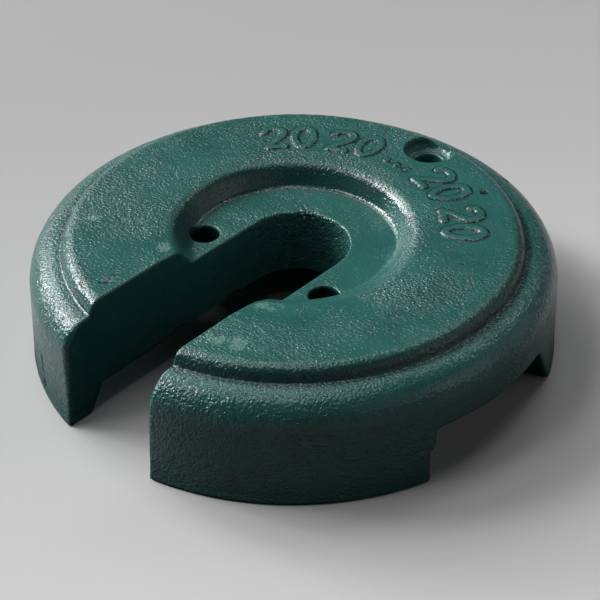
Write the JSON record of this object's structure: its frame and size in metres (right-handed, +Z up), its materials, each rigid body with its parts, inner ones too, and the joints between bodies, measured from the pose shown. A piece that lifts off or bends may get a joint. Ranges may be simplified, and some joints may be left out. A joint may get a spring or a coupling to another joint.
{
  "type": "tent weight",
  "caption": "Round slotted cast-iron weight for a tent leg, with a raised disc, a recess, peg holes, a foot ring and arched hand grips.",
  "frame": {"origin": "on the disc's axis, on the floor plane under the feet; the slot leaves the box's centre 1.7 mm behind it", "axes": "+Z up along the disc's axis; the leg slot opens towards -Y; +X is the right-hand grip, seen from the slot's mouth"},
  "size_m": [0.2864, 0.2863, 0.069],
  "materials": {
    "green_enamel": "dark teal-green gloss enamel over as-cast iron, with a fine pebbled surface, small pits and rubbed edges"
  },
  "bodies": {
    "root": {"weight_casting": "green_enamel"}
  },
  "joints": []
}
